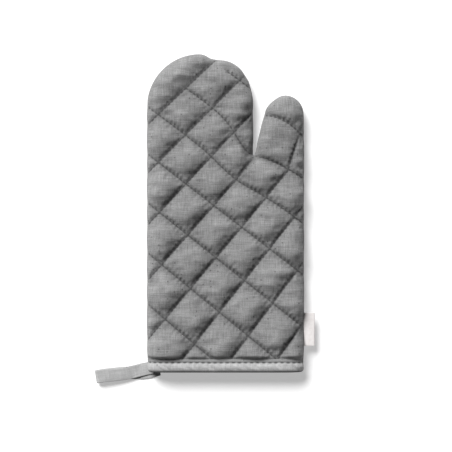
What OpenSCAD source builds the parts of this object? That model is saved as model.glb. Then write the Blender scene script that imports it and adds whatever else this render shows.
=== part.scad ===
// Quilted oven mitt, lying flat with its front face up.
//
// The origin is the middle of the resting face, midway along the mitt and across the cuff.
// +Y runs from the cuff to the fingertips, +X towards the thumb side, and +Z up from the
// resting face to the front face. Lengths are in millimetres and angles in degrees.
//
// The mitt is two quilted panels, front and back, sewn together round their edge and open at
// the cuff. Each panel is a shell, a batting and a lining, held together by quilting thread.
// The cloth bends at two folds, the knuckles and the thumb's root, so each layer is made in
// three stretches: palm, fingers and thumb.

/* [Mitt] */
// Length from the cuff's edge to the fingertips
mitt_length = 318; // [290:1:350]
// Width across the cuff
mitt_width = 156; // [150:1:180]
// Height of the whole mitt at rest: both panels and the space for the hand
mitt_height = 32; // [28:1:40]
// Height of the side seam above the resting face
seam_height = 12; // [10:0.5:15]

/* [Fingers and thumb] */
// Width of the finger pocket
finger_width = 105; // [98:1:110]
// Width of the thumb, which also sets how far the rounded rim reaches in from the seam
thumb_width = 38; // [34:1:40]
// Distance from the fingertips down to the thumb's tip
thumb_drop = 41; // [34:1:48]
// Distance from the fingertips down to the crotch between the fingers and the thumb
crotch_drop = 101; // [94:1:108]
// Lean of the thumb's inner side from the mitt's length
thumb_lean = 13; // [8:1:15]

/* [Quilted panels] */
// Thickness of the outer cloth
shell_t = 0.8; // [0.7:0.1:1.2]
// Thickness of the heat-resistant batting
batting_t = 4.2; // [3:0.1:5]
// Thickness of the lining cloth
lining_t = 0.6; // [0.4:0.1:1]
// Distance between the quilting lines that rise to the right
rising_pitch = 35.6; // [28:0.1:50]
// Distance between the quilting lines that fall to the right
falling_pitch = 39.7; // [28:0.1:50]
// Slope of the rising quilting lines
rising_slope = 49; // [40:1:55]
// Slope of the falling quilting lines
falling_slope = -39; // [-50:1:-35]
// Turn of the quilting lines in the thumb, which spreads away from the fingers
thumb_turn = 25; // [0:1:30]

/* [Cuff binding] */
// Depth of the folded strip that binds the cuff
binding_depth = 12; // [9:1:18]
// Thickness of the binding cloth
binding_t = 0.8; // [0.7:0.1:1]
// Distance of the binding's stitching from the cuff's edge
binding_stitch_y = 10.2; // [6:0.1:10.4]

/* [Hanging loop] */
// Length of the loop from its bend at the cuff to its far fold
loop_length = 46.5; // [35:0.5:60]
// Width of the loop's tape
tape_w = 13.5; // [10:0.5:15]
// Thickness of one ply of the tape
tape_t = 1.2; // [1:0.1:1.3]
// Height of the eye inside the far fold
eye_height = 7; // [5.5:0.1:9]
// Lean of the loop from the line of the cuff's edge
loop_lean = 9; // [0:1:15]

/* [Side label] */
// Length of the label along the side seam
label_length = 33; // [20:1:45]
// Reach of the label out of the side seam
label_reach = 11; // [8:1:20]
// Thickness of the folded label ribbon
label_t = 0.6; // [0.4:0.1:1]

/* [Folds] */
// Height of the knuckle fold above the crotch
knuckle_rise = 20; // [16:1:28]
// Slope of the fold at the thumb's root
thumb_fold_slope = -28; // [-32:1:-24]
// Width of the gap between the stretches of cloth at a fold
fold_gap = 0.6; // [0.5:0.1:0.8]

/* [Hidden] */

linen = [0.47, 0.47, 0.47];
wadding = [0.9, 0.89, 0.85];
lining_cloth = [0.6, 0.6, 0.59];
thread = [0.3, 0.3, 0.3];
tape_cloth = [0.66, 0.66, 0.65];
ribbon = [0.96, 0.94, 0.93];

far = 600;              // larger than the mitt in every direction
slack = 0.05;           // clearance between cloths that lie on each other
clear = 0.3;            // clearance between pieces that move against each other
rim = thumb_width / 2;  // reach of the rounded rim in from the side seam
cuff_y = -mitt_length / 2;
tip_y = mitt_length / 2;
left_x = -mitt_width / 2;
right_x = mitt_width / 2;
binding_y = cuff_y + binding_depth;

// Depths of the layers below the mitt's outer surface
batting_d = shell_t + slack;
lining_d = batting_d + batting_t + slack;
cavity_d = lining_d + lining_t;
tucked_shell_d = binding_t + slack;     // the panel is pressed thinner inside the binding
tucked_batting_d = tucked_shell_d + shell_t + slack;
binding_lining_d = cavity_d + slack;
inner_edge = cuff_y + binding_t + slack;

// Threads lie in grooves in the cloth
thread_w = 0.8;
thread_d = 0.45;
groove_w = thread_w + 2 * slack;
groove_d = thread_d + slack;
stitch_pitch = 6;
stitch_length = 4.6;
binding_stitches = floor(mitt_width / stitch_pitch);
seam_ridge = 3;         // depth of the overlocked allowance inside the side seam
seam_ridge_t = 1.6;

// The finger pocket ends in a half circle, and the thumb in a smaller one
finger_r = finger_width / 2;
finger_c = [left_x + finger_r, tip_y - finger_r];
thumb_c = [right_x - rim, tip_y - thumb_drop - rim];
root_inset = 15;        // the thumb's lower ball stops this far short of the crotch
slit_half = 2;          // half the width of the slit at the crotch
thumb_root = thumb_c - (crotch_drop - thumb_drop - root_inset) * [sin(thumb_lean), cos(thumb_lean)];
crotch = [left_x + finger_width + slit_half, tip_y - crotch_drop];
knuckle_y = crotch.y + knuckle_rise;

overrun = 60;           // the palm's form runs on past the cuff, where the cuff cuts it square
ball_sides = 24;        // facets round each ball of the form
ball_step = 22.5;       // angle between the rings of a ball
quilt_origin = [-13.5, 5.5];   // a crossing of two quilting lines near the middle of the palm
quilt_lines = 8;        // quilting lines of each family on either side of that crossing
quilt_stop = 1;         // the quilting ends this far above the binding

// The loop bends just outside the cuff's corner, and its tails reach back under the cuff
loop_bend = [left_x, cuff_y] + [-5, 2];
loop_neck = 6;          // the plies lie together this far from the bend
loop_r = eye_height / 2 + tape_t;
loop_c = [loop_length - loop_r, loop_r];
tail_nose = -2 * tape_t - clear;
tail_end = -12;
stitch_row = -tape_w / 2 + 2;   // the row of stitches is near the tape's edge towards the fingers
row_start = 0.5;        // the row begins this far past the plies' neck
row_margin = 4;         // and stops this far short of the far fold
bartack_w = 1.8;        // width of the bar of thread along the loop's line
bartack_inset = 1.5;    // distance of the bar from the ends of the tails
bartack_span = [-tape_w / 2 + 2, tape_w / 2 - 6];
label_y = cuff_y + 43;  // middle of the label

// ---- The puffed form of the mitt ------------------------------------------------------------

// A flattened ball over the plan point p, shrunk by the depth d
module puff(p, d)
  translate([p.x, p.y, seam_height])
    rotate_extrude($fn = ball_sides)
      polygon([for (a = [-90 : ball_step : 90])
        [(rim - d) * cos(a), ((a > 0 ? mitt_height - seam_height : seam_height) - d) * sin(a)]]);

module palm_form(d)
  hull()
    for (x = [left_x + rim, right_x - rim], y = [cuff_y - overrun, crotch.y - rim])
      puff([x, y], d);

module finger_form(d)
  hull() {
    for (a = [0 : ball_step : 180])
      puff(finger_c + (finger_r - rim) * [cos(a), sin(a)], d);
    for (side = [-1, 1])
      puff([finger_c.x + side * (finger_r - rim), crotch.y - 2 * rim], d);
  }

module thumb_form(d)
  hull() {
    puff(thumb_c, d);
    puff(thumb_root, d);
    puff([thumb_c.x, crotch.y - 2 * rim], d);
  }

// The solid that lies d or more below the mitt's outer surface
module mitt_form(d) {
  palm_form(d);
  finger_form(d);
  thumb_form(d);
}

// Everything between two depths
module layer(from, to)
  difference() {
    mitt_form(from);
    mitt_form(to);
  }

// ---- Regions that divide the form -----------------------------------------------------------

module slab(y0, y1)
  translate([-far, y0, -far])
    cube([2 * far, y1 - y0, 2 * far]);

module half(side)
  translate([-far, -far, side == "front" ? seam_height : seam_height - far])
    cube([2 * far, 2 * far, far]);

// The plan beyond each fold, moved by shift towards the tips
module beyond_knuckles(shift)
  translate([crotch.x - far, knuckle_y + shift])
    square(far);

module beyond_thumb_root(shift)
  intersection() {
    translate([crotch.x, -far])
      square(2 * far);
    translate(crotch)
      rotate(thumb_fold_slope)
        translate([-far, shift])
          square(2 * far);
  }

module zone_plan(zone) {
  if (zone == "fingers")
    beyond_knuckles(fold_gap / 2);
  if (zone == "thumb")
    beyond_thumb_root(fold_gap / 2);
  if (zone == "palm")
    difference() {
      translate([-far, -far])
        square(2 * far);
      beyond_knuckles(-fold_gap / 2);
      beyond_thumb_root(-fold_gap / 2);
    }
}

// The children within one zone. Resizing by nothing keeps their size and makes them one
// closed surface.
module in_zone(zone)
  resize([0, 0, 0])
    intersection() {
      union()
        children();
      translate([0, 0, -far / 2])
        linear_extrude(far)
          zone_plan(zone);
    }

// ---- Quilted panels -------------------------------------------------------------------------

// Upright walls along the quilting lines, which stop at the binding
module quilt_walls(zone, width)
  translate([0, 0, -far / 2])
    linear_extrude(far)
      intersection() {
        translate(crotch)
          rotate(zone == "thumb" ? thumb_turn : 0)
            translate(quilt_origin - crotch)
              for (family = [[rising_slope, rising_pitch], [falling_slope, falling_pitch]],
                   i = [-quilt_lines : quilt_lines])
                rotate(family[0])
                  translate([-far / 2, i * family[1] - width / 2])
                    square([far, width]);
        translate([-far, binding_y + quilt_stop])
          square(2 * far);
      }

module shell(side, zone)
  color(linen)
    in_zone(zone)
      intersection() {
        half(side);
        difference() {
          union() {
            intersection() {
              layer(0, shell_t);
              slab(binding_y + slack, far);
            }
            intersection() {
              layer(0, tucked_batting_d - slack);
              slab(binding_y + slack, binding_y + shell_t);
            }
            intersection() {
              layer(tucked_shell_d, tucked_batting_d - slack);
              slab(inner_edge, binding_y + shell_t);
            }
          }
          intersection() {
            layer(-1, groove_d);
            quilt_walls(zone, groove_w);
          }
        }
      }

module batting(side, zone)
  color(wadding)
    in_zone(zone)
      intersection() {
        half(side);
        union() {
          intersection() {
            layer(batting_d, lining_d - slack);
            slab(binding_y + shell_t + slack, far);
          }
          intersection() {
            layer(tucked_batting_d, lining_d - slack);
            slab(inner_edge, binding_y + shell_t + 2 * slack);
          }
        }
      }

module lining(side, zone)
  color(lining_cloth)
    in_zone(zone)
      intersection() {
        half(side);
        layer(lining_d, cavity_d);
        slab(inner_edge, far);
      }

module quilting(side, zone)
  color(thread)
    in_zone(zone)
      intersection() {
        half(side);
        layer(0, thread_d);
        quilt_walls(zone, thread_w);
      }

// The overlocked edge of both panels, a ridge along the inside of the side seam
module side_seam(zone)
  color(thread)
    in_zone(zone)
      intersection() {
        layer(cavity_d + slack, cavity_d + seam_ridge);
        translate([-far, -far, seam_height - seam_ridge_t / 2])
          cube([2 * far, 2 * far, seam_ridge_t]);
        slab(binding_y + slack, far);
      }

// ---- Cuff -----------------------------------------------------------------------------------

// A strip folded over the cuff's edge, with a groove for its stitching
module cuff_binding()
  color(tape_cloth)
    in_zone("palm")
      difference() {
        intersection() {
          layer(0, binding_lining_d + binding_t);
          slab(cuff_y, binding_y);
        }
        intersection() {
          layer(binding_t, binding_lining_d);
          slab(cuff_y + binding_t, far);
        }
        intersection() {
          layer(-1, groove_d);
          slab(cuff_y + binding_stitch_y - groove_w / 2, cuff_y + binding_stitch_y + groove_w / 2);
        }
      }

// A row of stitches right round the cuff
module binding_stitching()
  color(thread)
    in_zone("palm")
      intersection() {
        layer(0, thread_d);
        for (i = [0 : binding_stitches - 1])
          translate([(i - (binding_stitches - 1) / 2) * stitch_pitch - stitch_length / 2,
                     cuff_y + binding_stitch_y - thread_w / 2, -far])
            cube([stitch_length, thread_w, 2 * far]);
      }

// ---- Hanging loop ---------------------------------------------------------------------------

function arc(c, r, from, to, steps) =
  [for (i = [0 : steps]) c + r * [for (f = [from + (to - from) * i / steps]) each [cos(f), sin(f)]]];

// The upper ply leaves the plies' neck and meets the far fold at a tangent
function upper_tangent() =
  let (to_neck = [loop_neck, 2 * tape_t] - loop_c)
    atan2(to_neck.y, to_neck.x) + 360 - acos(loop_r / norm(to_neck));

// Side profile of the loop, shrunk by the depth d
function loop_outline(d) = concat(
  arc([0, tape_t], tape_t - d, 90, 270, 8),
  arc(loop_c, loop_r - d, -90, upper_tangent(), 20),
  [[loop_neck, 2 * tape_t - d]]);

function eye_outline() = concat(
  [[loop_neck, tape_t]],
  arc(loop_c, loop_r - tape_t, -90, upper_tangent(), 20));

// Draws a side profile along the loop's line and extrudes it across the tape, from y0 to y1
module along_loop(y0, y1)
  translate([loop_bend.x, loop_bend.y, 0])
    rotate([90, 0, 180 + loop_lean])
      translate([0, 0, -y1])
        linear_extrude(y1 - y0)
          children();

module hanging_loop()
  color(tape_cloth)
    difference() {
      along_loop(-tape_w / 2, tape_w / 2)
        difference() {
          polygon(loop_outline(0));
          polygon(eye_outline());
        }
      along_loop(stitch_row - groove_w / 2, stitch_row + groove_w / 2)
        difference() {
          translate([loop_neck, 2 * tape_t - groove_d])
            square([loop_c.x - loop_neck - row_margin, loop_length]);
          polygon(loop_outline(groove_d));
        }
    }

module loop_stitching()
  color(thread)
    along_loop(stitch_row - thread_w / 2, stitch_row + thread_w / 2)
      intersection() {
        difference() {
          polygon(loop_outline(0));
          polygon(loop_outline(thread_d));
        }
        for (i = [0 : floor((loop_c.x - loop_neck - row_margin - stitch_length) / stitch_pitch)])
          translate([loop_neck + row_start + i * stitch_pitch, 1.5 * tape_t])
            square([stitch_length, loop_length]);
      }

// Both ends of the loop's tape, stacked flat beneath the cuff's corner
module loop_tails()
  color(tape_cloth)
    along_loop(-tape_w / 2, tape_w / 2)
      polygon(concat(
        arc([tail_nose, tape_t], tape_t, -90, 90, 8),
        [[tail_end, 2 * tape_t], [tail_end, 0]]));

// The bar of thread that holds the tails to the binding
module loop_bartack()
  color(thread)
    resize([0, 0, 0])
      difference() {
        along_loop(bartack_span[0], bartack_span[1])
          translate([tail_end + bartack_inset, 2 * tape_t + slack])
            square([bartack_w, seam_height]);
        mitt_form(-slack);
      }

// ---- Side label -----------------------------------------------------------------------------

// A folded ribbon that stands out of the side seam
module side_label()
  color(ribbon)
    translate([right_x + clear + label_t / 2, label_y + label_length / 2, seam_height])
      rotate([90, 0, 0])
        linear_extrude(label_length)
          polygon(concat(
            arc([0, 0], label_t / 2, 90, 270, 8),
            arc([label_reach - label_t, 0], label_t / 2, -90, 90, 8)));

shell("front", "palm");  // front_shell_palm
batting("front", "palm");  // front_batting_palm
lining("front", "palm");  // front_lining_palm
quilting("front", "palm");  // front_quilting_palm
shell("back", "palm");  // back_shell_palm
batting("back", "palm");  // back_batting_palm
lining("back", "palm");  // back_lining_palm
quilting("back", "palm");  // back_quilting_palm
side_seam("palm");  // side_seam_palm
shell("front", "fingers");  // front_shell_fingers
batting("front", "fingers");  // front_batting_fingers
lining("front", "fingers");  // front_lining_fingers
quilting("front", "fingers");  // front_quilting_fingers
shell("back", "fingers");  // back_shell_fingers
batting("back", "fingers");  // back_batting_fingers
lining("back", "fingers");  // back_lining_fingers
quilting("back", "fingers");  // back_quilting_fingers
side_seam("fingers");  // side_seam_fingers
shell("front", "thumb");  // front_shell_thumb
batting("front", "thumb");  // front_batting_thumb
lining("front", "thumb");  // front_lining_thumb
quilting("front", "thumb");  // front_quilting_thumb
shell("back", "thumb");  // back_shell_thumb
batting("back", "thumb");  // back_batting_thumb
lining("back", "thumb");  // back_lining_thumb
quilting("back", "thumb");  // back_quilting_thumb
side_seam("thumb");  // side_seam_thumb
cuff_binding();
binding_stitching();
hanging_loop();
loop_stitching();
loop_tails();
loop_bartack();
side_label();
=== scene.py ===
"""A quilted linen oven mitt, lying flat and seen from straight above.

Lengths are in millimetres until a mesh is made.
"""

import math

import bpy
import numpy as np
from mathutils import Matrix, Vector, geometry, kdtree


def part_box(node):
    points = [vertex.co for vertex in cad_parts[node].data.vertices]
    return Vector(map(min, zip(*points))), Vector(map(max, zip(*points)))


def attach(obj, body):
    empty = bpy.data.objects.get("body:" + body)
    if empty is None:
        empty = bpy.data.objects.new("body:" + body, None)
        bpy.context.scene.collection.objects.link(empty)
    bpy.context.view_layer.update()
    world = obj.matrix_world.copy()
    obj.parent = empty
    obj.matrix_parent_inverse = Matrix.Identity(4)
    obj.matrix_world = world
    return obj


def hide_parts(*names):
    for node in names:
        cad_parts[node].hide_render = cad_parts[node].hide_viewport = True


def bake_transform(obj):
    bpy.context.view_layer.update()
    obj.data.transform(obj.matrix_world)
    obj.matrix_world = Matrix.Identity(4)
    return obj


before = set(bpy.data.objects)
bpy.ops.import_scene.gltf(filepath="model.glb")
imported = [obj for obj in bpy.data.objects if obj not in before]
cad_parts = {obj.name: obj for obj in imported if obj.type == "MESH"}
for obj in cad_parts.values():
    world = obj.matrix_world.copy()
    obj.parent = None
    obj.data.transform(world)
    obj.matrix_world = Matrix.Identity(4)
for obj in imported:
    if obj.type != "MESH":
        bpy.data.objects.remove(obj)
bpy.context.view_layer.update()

MM = 0.001


def cad(node):
    """The lowest and highest corners of a CAD node, in millimetres."""
    low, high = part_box(node)
    return low / MM, high / MM


palm_low, palm_high = cad("front_shell_palm")
fingers_high = cad("front_shell_fingers")[1]
thumb_high = cad("front_shell_thumb")[1]
binding_low, binding_high = cad("cuff_binding")
label_low, label_high = cad("side_label")

# The mitt's outline
LEFT, RIGHT = palm_low.x, palm_high.x
SEAM_Z, TOP_Z = palm_low.z, palm_high.z
CUFF_Y, BINDING_Y = binding_low.y, binding_high.y
FINGER_R = (fingers_high.x - LEFT) / 2
FINGER_C = np.array([LEFT + FINGER_R, fingers_high.y - FINGER_R])
RIM = 19.0  # reach of the rounded rim in from the seam, and half the thumb's width
THUMB_C = np.array([RIGHT - RIM, thumb_high.y - RIM])
THUMB_LEAN = math.radians(13)
CROTCH = np.array([28.5, 58.0])
SLIT_R = 1.5  # radius of the slit's round end between the fingers and the thumb
SHOULDER_LEFT, SHOULDER_RIGHT = 2.0, 2.35  # roundness of the finger pocket's shoulders
NOTCH_X, NOTCH_DEPTH, NOTCH_LEFT, NOTCH_RIGHT = -13.5, 4.0, 6.5, 17.0  # dent at the top
THUMB_POINT = 0.1  # how far the thumb's inner shoulder draws in
CUFF_TUCK = 0.9  # how far in the sides are at the cuff
DRAW_IN, DRAW_IN_W = 0.45, 5  # how far a stitch line draws in the seam that it meets, and over what length
SEAM_OUT = 0.4  # how far the rolled seam stands outside the CAD's outline
STEP = 2.3  # spacing of the cloth's points

# The quilted panels
PUFF = {"front": 8.0, "back": 3.6}  # rise of a pillow above its stitch lines
RISE = {"front": TOP_Z - SEAM_Z - PUFF["front"], "back": SEAM_Z - PUFF["back"]}
SIGN = {"front": 1.0, "back": -1.0}
SHELL_T, LINING_T = 0.8, 0.6
BATTING_D = 0.95  # depth of the batting below the shell's face
BATTING_PINCH = 0.4  # how much deeper it is pressed at a stitch line
LINING_D = 1.6  # depth of the lining below the stitch lines
LINING_SAG = 0.9  # how far the lining bellies in under a pillow
PILLOW_REACH = 16.0  # distance from a stitch line to a pillow's full rise
VALLEY, VALLEY_W = 0.26, 1.25  # share of a pillow's rise at its steep edge, and that edge's width
CROWN = 1.05  # roundness of a pillow above its steep edge
SEAM_FADE = 18.0  # length of cloth at the seam over which the pillows grow
FLATTER = 0.74  # height of the fingers' pillows as a share of the palm's
BINDING_TUCK = 0.35  # how much the cloth is pressed in under the binding
PANEL_END = CUFF_Y + 1.5  # the panels' raw edge, inside the binding

# The cloth simulation that fills the pillows
SIM_FRAMES, SIM_PRESSURE, SIM_GROWTH, SIM_START = 20, 2.5, 0.006, 0.9
SIM_CAP = {"front": 1.6, "back": 1.0}
RING_ANGLES = np.radians(np.arange(0, 65, 5))

# The quilting: where line i of one family crosses line j of the other
LATTICE = np.array([-39.5, 124.8])
TO_FALLING = np.array([26.6, -19.3])
TO_RISING = np.array([-27.6, -26.15])
FANNING = np.array([0.54, -1.1])
FIRST, LAST = -2.6, 8.0  # a line's first and last crossing, both well outside the mitt
PULL, PULL_C, PULL_R = np.array([-11.5, -11.0]), np.array([34.4, 66.3]), 23.3
STITCH_PITCH, STITCH_L, THREAD_R = 4.5, 3.2, 0.42
QUILT_MARGIN = 1.2  # how far from the seam the quilting ends
STITCH_UP = 0.2  # height of a stitch's middle above the cloth that it holds down
LEAN = -0.16  # share of its rise that a pillow's filling shifts across, towards its lower right
PUCKER, PUCKER_W = 1.5, 3.0  # how far a stitch draws the cloth flat beside it, and its reach
DENT, RIPPLE, GATHER = 1.1, 0.3, 0.65  # depths of the pillows' dents, of finer ones, and of the puckers
CREASE_SHADE_W = 0.95  # half width of the painted shade in the crease along a stitch line
RUN_ON = 0.6  # share of the crease's painted shade that runs on between the needle's holes
VALLEY_SHADE, VALLEY_SHADE_W = 0.34, 3.4  # painted shade of the valley beside the crease, and its half width
CROTCH_SHADE, CROTCH_SHADE_R = 0.3, 24  # extra painted shade in the valleys round the crotch, and its reach
FALLING_SHADE = 0.45  # painted shade of the falling lines in the fingers, and what the palm's have more


# ---- lines and outline

NOISE_GRID = np.random.default_rng(7).uniform(-1, 1, (64, 64, 16))


def noise(x, y, layer=0):
    """Smooth noise from -1 to 1 with a feature size of 1. Each layer is a different pattern."""
    x, y = np.broadcast_arrays(np.asarray(x, float), np.asarray(y, float))
    i, j = np.floor(x).astype(int), np.floor(y).astype(int)
    u, v = x - i, y - j
    u, v = u * u * (3 - 2 * u), v * v * (3 - 2 * v)
    grid = NOISE_GRID[:, :, layer]
    a, b = grid[i % 64, j % 64], grid[(i + 1) % 64, j % 64]
    c, d = grid[i % 64, (j + 1) % 64], grid[(i + 1) % 64, (j + 1) % 64]
    return (a * (1 - u) + b * u) * (1 - v) + (c * (1 - u) + d * u) * v


def bell(x):
    """1 at 0, falling smoothly to nothing by 2 on either side."""
    return np.exp(-(x**2))


def smoothstep(x):
    """0 below 0, 1 above 1, and a smooth rise between them."""
    x = np.clip(x, 0, 1)
    return x * x * (3 - 2 * x)


def unit(vectors):
    """The vectors at length 1."""
    return vectors / np.linalg.norm(vectors, axis=-1, keepdims=True)


def from_crotch(points):
    """Each point's distance to the crotch between the fingers and the thumb."""
    return np.linalg.norm(points - CROTCH, axis=1)


def run_along(points):
    """The length along a line from its start to each of its points."""
    return np.concatenate([[0], np.cumsum(np.linalg.norm(np.diff(points, axis=0), axis=1))])


def resample(points, step):
    """The same line with evenly spaced points."""
    points = np.asarray(points, float)
    run = run_along(points)
    count = max(2, int(round(run[-1] / step)) + 1)
    at = np.linspace(0, run[-1], count)
    return np.stack([np.interp(at, run, points[:, k]) for k in range(points.shape[1])], 1)


def lattice(i, j):
    """The quilting's crossing i, j: both families fan out slightly, and are drawn to the crotch."""
    i, j = np.asarray(i, float)[..., None], np.asarray(j, float)[..., None]
    p = LATTICE + i * TO_FALLING + j * TO_RISING + i * j * FANNING
    near = np.exp(-((p - PULL_C) ** 2).sum(-1, keepdims=True) / (2 * PULL_R**2))
    return p + PULL * near


def between_rising(points):
    """Where each point lies between two rising lines: 0 at the upper left one, 1 at the lower right one."""
    inverse = np.linalg.inv(np.array([TO_FALLING, TO_RISING]))
    ij = (points - LATTICE) @ inverse
    for _ in range(4):
        ij += (points - lattice(ij[:, 0], ij[:, 1])) @ inverse
    return ij[:, 0] % 1


def thumb_root(x):
    """The quilting line across the thumb's root, where the thumb's cloth is pieced to the palm's."""
    d = x - CROTCH[0]
    return CROTCH[1] - 0.27 * d - 0.0042 * d * d


def thumb_tip_line(x):
    """The quilting line across the thumb below its tip."""
    d = x - 41
    return 98 - 0.12 * d - 0.0125 * d**2


def quilting_lines():
    """The rising and the falling families of stitch lines, before they are cut to the mitt."""
    rising, falling = [], []
    along = np.arange(FIRST, LAST + 0.01, 0.06)
    for i in range(8):
        start = {3: 0.12, 4: 0.06}.get(i, FIRST if i < 4 else 0.0)
        line = lattice(np.full_like(along, i), along)[along > start]
        if i == 3:  # ends in the crotch
            line = np.vstack([CROTCH, line])
        if i == 4:  # turns upright on the thumb
            y = np.arange(105, line[0, 1] + 1, -2.0)
            line = np.vstack([np.stack([line[0, 0] + 0.33 * (y - line[0, 1]), y], 1), line])
        rising.append(line)
    for j in range(-1, 6):
        start, end = {-1: (0.55, 1.7), 0: (0.0, 2.86)}.get(j, (FIRST, LAST))
        line = lattice(along, np.full_like(along, j))[(along > start) & (along < end)]
        if j == 0:
            line = np.vstack([line, CROTCH])
        falling.append(line)
    x = np.arange(CROTCH[0], RIGHT + 2, 1.5)
    falling.append(np.stack([x, thumb_root(x)], 1))
    x = np.arange(36, RIGHT + 2, 1.5)
    falling.append(np.stack([x, thumb_tip_line(x)], 1))
    return rising, falling


def superarc(centre, radius, roundness, start, end):
    """An arc from one angle to another in degrees, squarer than a circle where roundness is over 2."""
    a = np.radians(np.linspace(start, end, 60))
    e = 2 / roundness
    c, s = np.cos(a), np.sin(a)
    return centre + radius * np.stack([np.sign(c) * np.abs(c) ** e, np.abs(s) ** e], 1)


def inward_normals(points):
    """Unit normals of the seam line, to the mitt's inside."""
    d = np.gradient(points, axis=0)
    return unit(np.stack([d[:, 1], -d[:, 0]], 1))


def draw_outline(lines):
    """The seam line, from the cuff's left end round the fingers and the thumb to its right end."""
    fingers = np.vstack([
        [(LEFT + CUFF_TUCK, PANEL_END), (LEFT + CUFF_TUCK, BINDING_Y), (LEFT, BINDING_Y + 14)],
        superarc(FINGER_C, FINGER_R, SHOULDER_LEFT, 180, 90),
        superarc(FINGER_C, FINGER_R, SHOULDER_RIGHT, 90, 0),
        [CROTCH + (-SLIT_R, SLIT_R)],
    ])
    turn = np.radians(np.linspace(180, 360 - math.degrees(THUMB_LEAN), 15))
    slit = CROTCH + (0, SLIT_R) + SLIT_R * np.stack([np.cos(turn), np.sin(turn)], 1)
    slit[np.argmin(slit[:, 1])] = CROTCH
    a = np.radians(np.linspace(180 - math.degrees(THUMB_LEAN), 0, 60))
    span = math.pi / 2 - THUMB_LEAN
    r = RIM * (1 - THUMB_POINT * np.sin(np.clip((a - math.pi / 2) / span, 0, 1) * math.pi) ** 1.4)
    thumb = np.vstack([
        [slit[-1]],
        THUMB_C + r[:, None] * np.stack([np.cos(a), np.sin(a)], 1),
        [(RIGHT, BINDING_Y + 14), (RIGHT - CUFF_TUCK, BINDING_Y), (RIGHT - CUFF_TUCK, PANEL_END)],
    ])
    fingers, thumb = resample(fingers, STEP), resample(thumb, STEP)
    points = np.vstack([fingers[:-1], slit, thumb[1:]])
    away = from_crotch(points) > 12
    for _ in range(5):  # rounds off the corners, away from the crotch
        smooth = (points[:-2] + 2 * points[1:-1] + points[2:]) / 4
        points[1:-1] = np.where(away[1:-1, None], smooth, points[1:-1])
    # The stitch lines draw the seam in where they meet it, most of all at the top
    near, _, _ = nearest(points, lines)
    drawn = DRAW_IN * bell(near / DRAW_IN_W) * away * (points[:, 1] > BINDING_Y + 12)
    drawn -= SEAM_OUT * away
    notch = points[:, 0] - NOTCH_X
    notch = np.where(notch < 0, notch / NOTCH_LEFT, notch / NOTCH_RIGHT)
    drawn += NOTCH_DEPTH * bell(notch) * (points[:, 1] > FINGER_C[1] + FINGER_R / 2)
    return points + inward_normals(points) * drawn[:, None]


def nearest(points, lines):
    """Each point's distance to the nearest line, the run along it, and the segment and share of it."""
    a = np.vstack([np.asarray(line)[:-1] for line in lines])
    b = np.vstack([np.asarray(line)[1:] for line in lines])
    run, ab = np.concatenate([run_along(line)[:-1] for line in lines]), b - a
    length2 = np.maximum((ab**2).sum(1), 1e-12)
    out = np.empty((len(points), 4))
    for k in range(0, len(points), 4000):
        p = points[k : k + 4000, None, :]
        t = np.clip(((p - a) * ab).sum(2) / length2, 0, 1)
        d2 = ((p - a - t[..., None] * ab) ** 2).sum(2)
        m = d2.argmin(1)
        row = np.arange(len(m))
        d, t = np.sqrt(d2[row, m]), t[row, m]
        out[k : k + 4000] = np.stack([d, run[m] + t * np.sqrt(length2[m]), m, t], 1)
    return out[:, 0], out[:, 1], out[:, 2:]


RISING, FALLING = quilting_lines()
OUTLINE = draw_outline(RISING + FALLING)
NORMALS = inward_normals(OUTLINE)
TOP_Y = OUTLINE[:, 1].max()


def inside(points):
    """Whether each point is inside the outline closed along the cuff."""
    a, b = OUTLINE, np.roll(OUTLINE, -1, axis=0)
    x, y = points[:, :1], points[:, 1:]
    crosses = (a[:, 1] > y) != (b[:, 1] > y)
    dy = np.where(b[:, 1] == a[:, 1], 1e-9, b[:, 1] - a[:, 1])
    return (crosses & (x < a[:, 0] + (y - a[:, 1]) / dy * (b[:, 0] - a[:, 0]))).sum(1) % 2 == 1


def from_seam(points):
    """Each point's distance in from the seam, and the seam's inward normal there."""
    d, _, where = nearest(points, [OUTLINE])
    m, t = where[:, 0].astype(int), where[:, 1:]
    return d, unit(NORMALS[m] * (1 - t) + NORMALS[m + 1] * t)


def trimmed(line, margin):
    """The stretches of a line inside the mitt, at least margin from the seam and above the binding."""
    line = resample(line, 1.0)
    d, _ = from_seam(line)
    keep = inside(line) & (d > margin) & (line[:, 1] > BINDING_Y - 2)
    cuts = np.nonzero(np.diff(keep))[0] + 1
    pieces = zip(np.split(line, cuts), np.split(keep, cuts))
    return [resample(piece, STEP) for piece, kept in pieces if kept[0] and len(piece) > 4]


RISING_RUNS = [run for line in RISING for run in trimmed(line, QUILT_MARGIN)]
FALLING_RUNS = [run for line in FALLING for run in trimmed(line, QUILT_MARGIN)]


# ---- the panels' surface


def rim_table(rise):
    """Distances in from the seam, and the lengths of cloth up the rim's curve to them."""
    a = np.radians(np.linspace(0, 90, 200))
    t = RIM * (1 - np.cos(a))
    return t, run_along(np.stack([t, rise * np.sin(a)], 1))


class Plan:
    """Points in plan, and where they are from the seam and the stitch lines."""

    def __init__(self, points):
        self.plan = points
        self.t, self.n = from_seam(points)
        self.d_rising, self.s_rising, _ = nearest(points, RISING_RUNS)
        self.d_falling, self.s_falling, _ = nearest(points, FALLING_RUNS)
        self.lean = np.sin(2 * math.pi * between_rising(points))


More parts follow.
